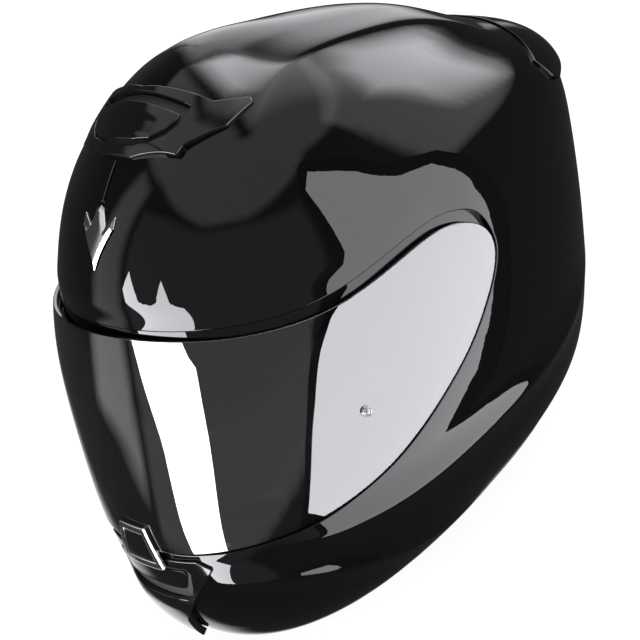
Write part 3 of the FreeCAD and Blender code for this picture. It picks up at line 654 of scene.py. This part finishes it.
def on_front(line):
    """A front-view distance that holds only on the front half."""
    return lambda p: np.where(p[..., 1] < 0, line(p), 50.0)


cowl_line = on_front(outline_distance(closed_outline(COWL), FRONT_VIEW))
window_line = on_front(outline_distance(closed_outline(WINDOW), FRONT_VIEW))


def gate_face(p):
    """The gate lies just below the cowl's face."""
    return cowl_face(p) - 0.1


shutter_line = on_front(outline_distance(closed_outline(SHUTTER), FRONT_VIEW))
chin_turns, chin_levels = grid(-0.42, 0.42, 240), grid(0.18, 0.47, 150)
cowl = moulded("chin_vent_frame", skin(cowl_face),
               lambda p: np.maximum(cowl_line(p) + 0.8, 0.8 - window_line(p)),
               chin_turns, chin_levels, SATIN, 4.0, radius=0.8, closed=False)
held(cowl, "helmet", "satin_black", "chin_vent_cowl")
shutter = moulded("chin_vent_gate", skin(gate_face), lambda p: shutter_line(p) + 0.4,
                  chin_turns, chin_levels, SATIN, 0.7, radius=0.3)
well = moulded("chin_vent_well", skin(0.25), lambda p: window_line(p) - 0.5, chin_turns, chin_levels,
               MATTE, 0.6, radius=0.2, closed=False)
held(well, "helmet", "matte_black")
held(shutter, "chin_shutter", "satin_black", "chin_vent_shutter")

SPOILER = [(230, 199), (150, 199), (141, 198), (120, 189.5), (124, 177), (131, 171), (150, 168.5), (230, 168)]


def spoiler_lip(p):
    """The spoiler stands out most along its lower edge, near the middle of the back."""
    high = 1 - step(172, 199, p[..., 2])
    wide = 1 - step(64, 98, np.abs(p[..., 0]))
    return 1.1 + 2.6 * high * (0.35 + 0.65 * wide) * step(90, 125, p[..., 1])


spoiler_line = outline_distance(SPOILER, SIDE_VIEW)
rear_turns, rear_levels = math.pi + grid(-0.95, 0.95, 300), grid(0.52, 0.80, 150)
spoiler = moulded("rear_spoiler_wing", skin(spoiler_lip), lambda p: spoiler_line(p) + 0.9,
                  rear_turns, rear_levels, PAINT, 1.6, radius=0.7, closed=False)
held(spoiler, "helmet", "gloss_black", "rear_spoiler")

outlet_line = outline_distance(closed_outline([(0, 167.5), (50, 167.5), (44, 156), (0, 153)]), FRONT_VIEW)


def grille_slots(p):
    """Four square openings on each side of the middle."""
    x, z = np.abs(p[..., 0]), p[..., 2]
    gap = np.full(x.shape, 50.0)
    for middle in (5.5, 16.0, 26.5, 37.0):
        gap = np.minimum(gap, np.maximum(np.abs(x - middle) - 3.6, np.abs(z - 160.6) - 3.4))
    return gap


def on_rear(line):
    """A front-view distance that holds only on the rear half."""
    return lambda p: np.where(p[..., 1] > 60, line(p), 50.0)


grille = moulded("rear_exhaust_louvre", skin(2.0),
                 on_rear(lambda p: np.maximum(outlet_line(p) + 0.6, 0.4 - grille_slots(p))),
                 rear_turns, grid(0.50, 0.66, 130), SATIN, 1.8, radius=0.5, closed=False)
held(grille, "helmet", "satin_black", "rear_exhaust_grille")
# A matte black sheet just above the skin behind the louvre's slots: a painted shadow inside the vent.
exhaust_shadow_sheet = moulded("rear_exhaust_shadow", skin(0.35), on_rear(lambda p: outlet_line(p) + 2.0),
                  rear_turns, grid(0.50, 0.66, 60), MATTE, 0.3, radius=0.1, closed=False)
held(exhaust_shadow_sheet, "helmet", "matte_black")

BADGE = [(0, -113), (4, -108.5), (13.5, -98.5), (13.5, -93.5), (6.5, -98.5), (3.2, -92.5), (0, -91)]
SPINE = [(0, -90.5), (1.2, -90.5), (2.2, -73), (0, -73)]
badge_line = outline_distance(closed_outline(BADGE), TOP_VIEW)
spine_line = outline_distance(closed_outline(SPINE), TOP_VIEW)
brow_turns, brow_levels = grid(-0.32, 0.32, 200), grid(0.66, 0.90, 190)
badge = moulded("forehead_emblem", skin(lambda p: 0.5 + 1.2 * np.clip(-badge_line(p) / 2.2, 0, 1)),
                lambda p: badge_line(p) + 0.2, brow_turns, brow_levels,
                CHROME, 0.4, radius=0.15, closed=False)
held(badge, "helmet", "bright", "forehead_badge")
spine = moulded("forehead_ridge", skin(1.1), lambda p: spine_line(p) + 0.5, brow_turns, brow_levels,
                PAINT, 1.0, radius=0.5, closed=False)
held(spine, "helmet", "gloss_black", "forehead_spine")


def lens_pin(name, sign, node):
    """A turned pin head: a flat rim, a groove and a raised middle."""
    axis = Vector((sign * 0.87, -0.49, 0.04)).normalized()
    side = axis.cross(Vector((0, 0, 1))).normalized()
    rise = side.cross(axis)
    low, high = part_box(node)
    middle = (Vector(low) + Vector(high)) * 0.5 / MM
    foot = middle + axis * (1.05 - abs(high[0] - low[0]) / MM * 0.25)
    profile = [(0.0, 1.25), (0.9, 1.22), (1.15, 1.05), (1.2, 0.72), (1.55, 0.7), (1.7, 0.95), (2.1, 1.0),
               (2.45, 0.9), (2.6, 0.65), (2.6, -1.2)]
    count = 40
    points, faces = [foot + axis * profile[0][1]], []
    for r, h in profile[1:]:
        for k in range(count):
            turn = 2 * math.pi * k / count
            points.append(foot + axis * h + side * r * math.cos(turn) + rise * r * math.sin(turn))
    for k in range(count):
        faces.append([0, 1 + k, 1 + (k + 1) % count])
    for ring in range(len(profile) - 2):
        a, b = 1 + ring * count, 1 + (ring + 1) * count
        for k in range(count):
            faces.append([a + k, b + k, b + (k + 1) % count, a + (k + 1) % count])
    if sign < 0:
        faces = [face[::-1] for face in faces]
    obj = to_object(name, [tuple(point) for point in points], None, faces, PIN)
    return held(obj, "visor", "steel", node)


lens_pin("lens_pin_head_left", 1, "lens_pin_left")
lens_pin("lens_pin_head_right", -1, "lens_pin_right")
tab_line = on_front(outline_distance(closed_outline([(0, 102), (11, 102), (18, 79), (0, 79)]), FRONT_VIEW))
tab_turns, tab_levels = grid(-0.16, 0.16, 110), grid(0.36, 0.48, 110)
tab_frame = moulded("visor_tab_frame", skin(lambda p: visor_face(p) + 2.2, shaped=False),
                    lambda p: np.maximum(tab_line(p) + 0.8, -3.4 - tab_line(p)), tab_turns, tab_levels,
                    CHROME, 2.1, radius=0.8, closed=False)
held(tab_frame, "visor", "bright", "visor_tab")
tab_glass = moulded("visor_tab_window", skin(lambda p: visor_face(p) + 1.5, shaped=False),
                    lambda p: tab_line(p) + 2.6, tab_turns, tab_levels, SATIN, 1.3, radius=0.3, closed=False)
held(tab_glass, "visor", "satin_black")

rim_edge = moulded("rubber_edge", skin(0.5),
                   lambda p: np.maximum(over_rim(p, TRIM), -over_rim(p, 0.3)) + 0.3,
                   around, grid(0.02, 0.30, 150), TRIM_GREY, 5.0, radius=0.5, whole=True, closed=False)
held(rim_edge, "helmet", "black_rubber", "rim_trim")


# ------------------------------------------------------------------ padding and webbing
def as_placed(node):
    """A copy of a CAD node's mesh, with its place in its vertices."""
    mesh = NODES[node].data.copy()
    mesh.transform(NODES[node].matrix_world)
    return mesh


def settled(obj):
    """Swaps an object's mesh for what its modifiers make of it."""
    view = bpy.context.evaluated_depsgraph_get()
    made = bpy.data.meshes.new_from_object(obj.evaluated_get(view), depsgraph=view)
    obj.modifiers.clear()
    obj.data = made


def read(rows, field):
    """A three-part field of all of a mesh's rows, as an array."""
    out = np.empty(len(rows) * 3)
    rows.foreach_get(field, out)
    return out.reshape(-1, 3)


def coords(mesh):
    return read(mesh.vertices, "co")


def facings(mesh):
    return read(mesh.vertex_normals, "vector")


def write_coords(mesh, points):
    mesh.vertices.foreach_set("co", np.ascontiguousarray(points, dtype=np.float64).ravel())
    mesh.update()


SWELL_PRESSURE, SWELL_FRAMES = 4.0, 20


def stuffed(name, node, body, slot_name, inward, seams, voxel=0.0045, shrink=0.0012, cap=0.006):
    """A sewn pad: it swells under pressure on the side that faces inward, then its seams pull in.

    inward gives the way in at each point; each seam is a signed distance, a depth and a width; cap
    bounds how far a point may move, in metres.
    """
    obj = bpy.data.objects.new(name, as_placed(node))
    bpy.context.scene.collection.objects.link(obj)
    remesh = obj.modifiers.new("voxels", "REMESH")
    remesh.mode = "VOXEL"
    remesh.voxel_size = voxel
    settled(obj)
    relax = obj.modifiers.new("relax", "SMOOTH")
    relax.iterations = 6
    relax.factor = 0.5
    settled(obj)
    start = coords(obj.data) - facings(obj.data) * shrink
    write_coords(obj.data, start)
    if FINE:
        soft = obj.modifiers.new("cloth", "CLOTH")
        soft.settings.quality = 4
        soft.settings.use_pressure = True
        soft.settings.uniform_pressure_force = SWELL_PRESSURE
        soft.settings.effector_weights.gravity = 0.0
        soft.point_cache.frame_start, soft.point_cache.frame_end = 1, SWELL_FRAMES
        for moment in range(1, SWELL_FRAMES + 1):
            bpy.context.scene.frame_set(moment)
        settled(obj)
        bpy.context.scene.frame_set(1)
    move = coords(obj.data) - start
    length = np.linalg.norm(move, axis=1, keepdims=True)
    face = facings(obj.data)
    open_side = np.clip((inward(start / MM) * face).sum(1, keepdims=True), 0, 1)
    limit = cap * (0.08 + 0.92 * open_side)
    write_coords(obj.data, start + move * np.minimum(1, limit / np.maximum(length, 1e-9)))
    finer = obj.modifiers.new("finer", "SUBSURF")
    finer.levels = finer.render_levels = 1
    settled(obj)
    points, face = coords(obj.data), facings(obj.data)
    pull = np.zeros(len(points))
    for seam, depth, width in seams:
        gap = seam(points / MM)
        pull += depth * MM * np.exp(-(gap / width) ** 2)
        pull -= 0.35 * depth * MM * np.exp(-((np.abs(gap) - 2.6 * width) / (1.5 * width)) ** 2)
    open_side = np.clip((inward(points / MM) * face).sum(1) * 1.6 + 0.3, 0, 1)
    write_coords(obj.data, points - face * (pull * open_side)[:, None])
    obj.data.shade_smooth()
    obj.data.materials.clear()
    obj.data.materials.append(LINING)
    held(obj, body, slot_name, node)
    return obj


def towards(centre):
    """Unit ways from points towards a centre."""
    def way(p):
        out = np.asarray(centre, float) - p
        return out / np.maximum(np.linalg.norm(out, axis=1, keepdims=True), 1e-9)
    return way


HEAD = (0, 5, 135)
stuffed("crown_cushion", "crown_pad", "helmet", "liner_cloth", towards(HEAD),
        [(lambda p: np.abs(p[:, 0]) - 27, 1.5, 1.8),
         (lambda p: np.abs(p[:, 1] - 8) - 52, 1.3, 1.8),
         (lambda p: p[:, 2] - 150 - 0.12 * p[:, 1], 1.3, 1.8)], voxel=0.0042, cap=0.004)
for side, sign in (("left", 1), ("right", -1)):
    stuffed(f"cheek_cushion_{side}", f"cheek_pad_{side}", "helmet", "liner_cloth",
            lambda p, sign=sign: np.tile(np.array([-sign * 0.96, 0, 0.28]), (len(p), 1)),
            [(lambda p: np.abs(p[:, 2] - 52 + 0.25 * p[:, 1]) - 21, 1.8, 1.9),
             (lambda p: p[:, 1] + 66 + 0.2 * p[:, 2], 1.6, 1.9)],
            voxel=0.005, shrink=0.002, cap=0.007)
stuffed("neck_cushion", "neck_roll", "helmet", "liner_cloth", towards((0, 10, 10)),
        [(lambda p: p[:, 2] - 15, 1.6, 1.8)], voxel=0.0045, cap=0.004)

UPPER_STRAP = [(91.8, 75), (91.8, 66), (90.2, 56), (83.0, 42), (69.6, 28.5)]
LEFT_STRAP = UPPER_STRAP + [(55.2, 16.5), (43, 11.4)]
RIGHT_STRAP = UPPER_STRAP + [(53, 17.5), (30.2, 12.4)]
STRAP_Y, STRAP_WIDE, STRAP_HALF_THICK = 49.0, 24.0, 1.05


def ribbon(name, line, sign, node):
    """Webbing along a line in the plane across the helmet: crowned ribs, and a thin selvage each side."""
    steps = int(260 * DENSE) + 20
    run = along(line, steps)
    way = np.gradient(run, axis=0)
    way /= np.linalg.norm(way, axis=1, keepdims=True)
    side = np.stack([way[:, 1], -way[:, 0]], -1)
    length = np.concatenate([[0], np.cumsum(np.linalg.norm(np.diff(run, axis=0), axis=1))])
    across = np.linspace(-1, 1, 49)
    ring = [(u, +1) for u in across] + [(u, -1) for u in across[::-1]]
    points = []
    for k in range(steps):
        for u, face in ring:
            edge = max(0.0, 1 - (max(0.0, abs(u) - 0.93) / 0.07) ** 2) ** 0.5
            rib = 0.10 * math.cos(u * 12 * math.pi) * (abs(u) < 0.86)
            pick = 0.05 * math.sin(length[k] * 2 * math.pi / 1.6 + (0 if face > 0 else math.pi))
            out = face * STRAP_HALF_THICK * (0.25 + 0.75 * edge) + face * (rib + pick - 0.15)
            x, z = run[k] + side[k] * out
            points.append((sign * x, STRAP_Y + u * STRAP_WIDE / 2, z))
    n = len(ring)
    faces = [[k * n + i, k * n + (i + 1) % n, (k + 1) * n + (i + 1) % n, (k + 1) * n + i]
             for k in range(steps - 1) for i in range(n)]
    faces += [list(range(n - 1, -1, -1)), [(steps - 1) * n + i for i in range(n)]]
    if sign > 0:
        faces = [face[::-1] for face in faces]
    obj = to_object(name, points, None, faces, WEBBING)
    return held(obj, "helmet", "webbing", node)


ribbon("chin_webbing_left", LEFT_STRAP, 1, "strap_left")
ribbon("chin_webbing_right", RIGHT_STRAP, -1, "strap_right")

# ------------------------------------------------------------------ camera, floor and light
AZIMUTH, ELEVATION, ROLL = math.radians(59.16), math.radians(27.79), math.radians(-28.36)
CAMERA_AIM, CAMERA_DISTANCE = (0, -4, 135), 0.9
back = Vector((math.sin(AZIMUTH) * math.cos(ELEVATION), -math.cos(AZIMUTH) * math.cos(ELEVATION),
               math.sin(ELEVATION)))
right = Vector((math.cos(AZIMUTH), math.sin(AZIMUTH), 0))
top = back.cross(right)
across = right * math.cos(ROLL) + top * math.sin(ROLL)
upward = top * math.cos(ROLL) - right * math.sin(ROLL)
camera_data = bpy.data.cameras.new("camera")
camera = bpy.data.objects.new("camera", camera_data)
bpy.context.scene.collection.objects.link(camera)
place = Vector(CAMERA_AIM) * MM + back * CAMERA_DISTANCE
camera.matrix_world = Matrix((
    (across.x, upward.x, back.x, place.x),
    (across.y, upward.y, back.y, place.y),
    (across.z, upward.z, back.z, place.z),
    (0, 0, 0, 1)))
camera_data.sensor_width = 36.0
camera_data.lens = 93.8025
camera_data.shift_x = 0.0117
camera_data.shift_y = -0.0759
camera_data.clip_start = 0.05
bpy.context.scene.camera = camera


PANEL_TINT = (0.965, 0.955, 1.0, 1)
PANEL_CENTRE_Z = 0.13


def sky_panel(name, corners, strength, reach, soft):
    """A glowing panel far off, whose corners are given as (azimuth, elevation) in degrees.

    A soft panel fades out over that many degrees inside its edge, and lets light behind it through.
    """
    flat = bmesh.new()
    flat.faces.new([flat.verts.new((azimuth, elevation, 0)) for azimuth, elevation in corners])
    bmesh.ops.triangulate(flat, faces=flat.faces[:])
    for _ in range(6):
        long_edges = [e for e in flat.edges if e.calc_length() > 5]
        bmesh.ops.subdivide_edges(flat, edges=long_edges, cuts=1)
        bmesh.ops.triangulate(flat, faces=flat.faces[:])
    glow = []
    fence = [(Vector((*p, 0)), Vector((*q, 0))) for p, q in zip(corners, corners[1:] + corners[:1])]
    for vert in flat.verts:
        inside = 1.0
        for p, q in fence if soft else ():
            t = min(max((vert.co - p).dot(q - p) / (q - p).length_squared, 0), 1)
            gap = (vert.co - (p + (q - p) * t))
            gap.x *= math.cos(math.radians(vert.co.y))
            inside = min(inside, gap.length / soft)
        glow.append(inside * inside * (3 - 2 * inside))
        a, e = math.radians(vert.co.x), math.radians(vert.co.y)
        vert.co = (reach * math.sin(a) * math.cos(e), -reach * math.cos(a) * math.cos(e),
                   PANEL_CENTRE_Z + reach * math.sin(e))
    mesh = bpy.data.meshes.new(name)
    flat.to_mesh(mesh)
    flat.free()
    mesh.attributes.new("glow", "FLOAT", "POINT").data.foreach_set("value", glow)
    obj = bpy.data.objects.new(name, mesh)
    bpy.context.scene.collection.objects.link(obj)
    mat = bpy.data.materials.new(name)
    mat.use_nodes = True
    tree = mat.node_tree
    tree.nodes.clear()
    shine = add(tree, "ShaderNodeEmission", Strength=strength, Color=PANEL_TINT)
    out = add(tree, "ShaderNodeOutputMaterial")
    if soft:
        fade = add(tree, "ShaderNodeAttribute", attribute_name="glow")
        amount = add(tree, "ShaderNodeMath", operation="MULTIPLY")
        amount.inputs[1].default_value = strength
        clear = add(tree, "ShaderNodeBsdfTransparent")
        over = add(tree, "ShaderNodeAddShader")
        tree.links.new(fade.outputs["Fac"], amount.inputs[0])
        tree.links.new(amount.outputs[0], shine.inputs["Strength"])
        tree.links.new(shine.outputs[0], over.inputs[0])
        tree.links.new(clear.outputs[0], over.inputs[1])
        tree.links.new(over.outputs[0], out.inputs["Surface"])
    else:
        tree.links.new(shine.outputs[0], out.inputs["Surface"])
    mesh.materials.append(mat)
    obj.visible_camera = False
    obj.visible_transmission = False


# name, brightness, distance in metres, softness in degrees, corners
PANELS = [
    ("light_strip", 15.0, 4.0, 0,
     [(-38, 16), (-34, 23), (-29, 17), (-21, 16), (-14, 27), (-7, 17), (-4, 15), (2, -22), (-16, -22)]),
    ("light_side", 4.5, 4.1, 0,
     [(80, 47), (80, 22), (77, 5), (68, 1), (62, -8), (57, -20), (46, -35), (60, -45), (90, -55), (120, -57),
      (133, -50), (137, -35), (131, -15), (129, 17), (110, 38), (89, 51)]),
    ("light_side_frame", 0.02, 4.15, 0,
     [(84, 55), (76, 48), (75, 22), (72, 8), (64, 4), (57, -6), (52, -20), (41, -36), (57, -49), (90, -60),
      (122, -61), (140, -53), (143, -35), (136, -15), (134, 19), (113, 43), (91, 56)]),
    ("light_overhead", 0.7, 4.4, 4,
     [(-120, 45), (-90, 49), (-60, 55), (-36, 57), (-14, 53), (9, 48), (40, 48), (77, 52), (100, 56),
      (130, 49), (150, 48), (240, 48), (240, 89.5), (-120, 89.5)]),
    ("light_overhead_rear", 1.9, 4.5, 16, [(150, 38), (200, 38), (240, 42), (240, 88), (150, 88)]),
    ("light_rear_high", 1.15, 4.6, 5, [(128, 58), (128, 10), (160, 9), (194, 9), (194, 58)]),
    ("light_rear_bright", 6.0, 4.2, 11, [(148, 42), (154, 20), (178, 9), (194, 12), (194, 42), (174, 50)]),
    ("light_front_fill", 0.22, 4.7, 3,
     [(-38, 48), (-20, 52), (9, 49), (40, 49), (75, 47), (71, 20), (60, 6), (56, -28), (10, -30),
      (-38, -16)]),
    ("light_front_left", 0.75, 4.8, 5, [(-60, 56), (-60, -8), (-38, -12), (-38, 56)]),
    ("light_backdrop", 1.4, 4.3, 7, [(-147, 48), (-147, -11), (-118, -11), (-118, 48)]),
    ("light_back_high", 6.0, 4.35, 9, [(-152, 74), (-152, 46), (-118, 46), (-118, 74)]),
    ("light_low_right", 1.6, 4.9, 12,
     [(-122, -60), (-122, -26), (-104, -20), (-62, -22), (-50, -40), (-50, -60)]),
]
for panel_name, brightness, distance, softness, outline in PANELS:
    sky_panel(panel_name, outline, brightness, distance, softness)

FLOOR_Z, FLOOR_RADIUS, FLOOR_CORNERS = -0.0012, 8, 48
floor_mesh = bpy.data.meshes.new("studio_floor")
floor_mesh.from_pydata([(FLOOR_RADIUS * math.cos(2 * math.pi * k / FLOOR_CORNERS),
                         FLOOR_RADIUS * math.sin(2 * math.pi * k / FLOOR_CORNERS), FLOOR_Z)
                        for k in range(FLOOR_CORNERS)], [], [list(range(FLOOR_CORNERS))])
studio_floor = bpy.data.objects.new("studio_floor", floor_mesh)
bpy.context.scene.collection.objects.link(studio_floor)
floor_mat = bpy.data.materials.new("studio_floor")
floor_mat.use_nodes = True
tree = floor_mat.node_tree
tree.nodes.clear()
spot = add(tree, "ShaderNodeNewGeometry").outputs["Position"]
# The floor is bright, and a little brighter far off, but dark on an oval under the helmet: a painted shadow.
SHADOW_OVAL_X, SHADOW_OVAL_Y, SHADOW_OVAL_MIDDLE = 0.085, 0.125, (-0.02, 0.01)
away = add(tree, "ShaderNodeVectorMath", operation="LENGTH")
tree.links.new(spot, away.inputs[0])
inner = add(tree, "ShaderNodeVectorMath", operation="MULTIPLY_ADD")
inner.inputs[1].default_value = (1 / SHADOW_OVAL_X, 1 / SHADOW_OVAL_Y, 0)
inner.inputs[2].default_value = (-SHADOW_OVAL_MIDDLE[0] / SHADOW_OVAL_X, -SHADOW_OVAL_MIDDLE[1] / SHADOW_OVAL_Y, 0)
tree.links.new(spot, inner.inputs[0])
under = add(tree, "ShaderNodeVectorMath", operation="LENGTH")
tree.links.new(inner.outputs["Vector"], under.inputs[0])
bright_here = add(tree, "ShaderNodeMath", operation="MULTIPLY")
# Painted shadow: the floor's glow drops to 0.03 inside the oval under the helmet.
tree.links.new(ramp(tree, under.outputs["Value"], 0.75, 1.0, 0.03, 1.0), bright_here.inputs[0])
tree.links.new(ramp(tree, away.outputs["Value"], 0.25, 0.9, 0.92, 1.02), bright_here.inputs[1])
glow = add(tree, "ShaderNodeEmission")
tree.links.new(bright_here.outputs["Value"], glow.inputs["Strength"])
pale = add(tree, "ShaderNodeBsdfDiffuse", Color=(0.16, 0.16, 0.16, 1))
to_camera = add(tree, "ShaderNodeAddShader")
tree.links.new(pale.outputs[0], to_camera.inputs[0])
tree.links.new(glow.outputs[0], to_camera.inputs[1])
grey = add(tree, "ShaderNodeBsdfDiffuse", Color=(0.3, 0.3, 0.3, 1))
choose = add(tree, "ShaderNodeMixShader")
tree.links.new(add(tree, "ShaderNodeLightPath").outputs["Is Camera Ray"], choose.inputs[0])
tree.links.new(grey.outputs[0], choose.inputs[1])
tree.links.new(to_camera.outputs[0], choose.inputs[2])
tree.links.new(choose.outputs[0], add(tree, "ShaderNodeOutputMaterial").inputs["Surface"])
floor_mesh.materials.append(floor_mat)
studio_floor.visible_glossy = False
studio_floor.visible_shadow = False

world = bpy.data.worlds.new("studio")
bpy.context.scene.world = world
world.use_nodes = True
tree = world.node_tree
white = tree.nodes["Background"]
white.inputs["Color"].default_value = (1, 1, 1, 1)
dim = add(tree, "ShaderNodeBackground", Color=(0.05, 0.05, 0.05, 1), Strength=1.0)
mix = add(tree, "ShaderNodeMixShader")
tree.links.new(add(tree, "ShaderNodeLightPath").outputs["Is Camera Ray"], mix.inputs[0])
tree.links.new(dim.outputs[0], mix.inputs[1])
tree.links.new(white.outputs[0], mix.inputs[2])
tree.links.new(mix.outputs[0], tree.nodes["World Output"].inputs["Surface"])
bpy.context.scene.view_settings.view_transform = "Standard"
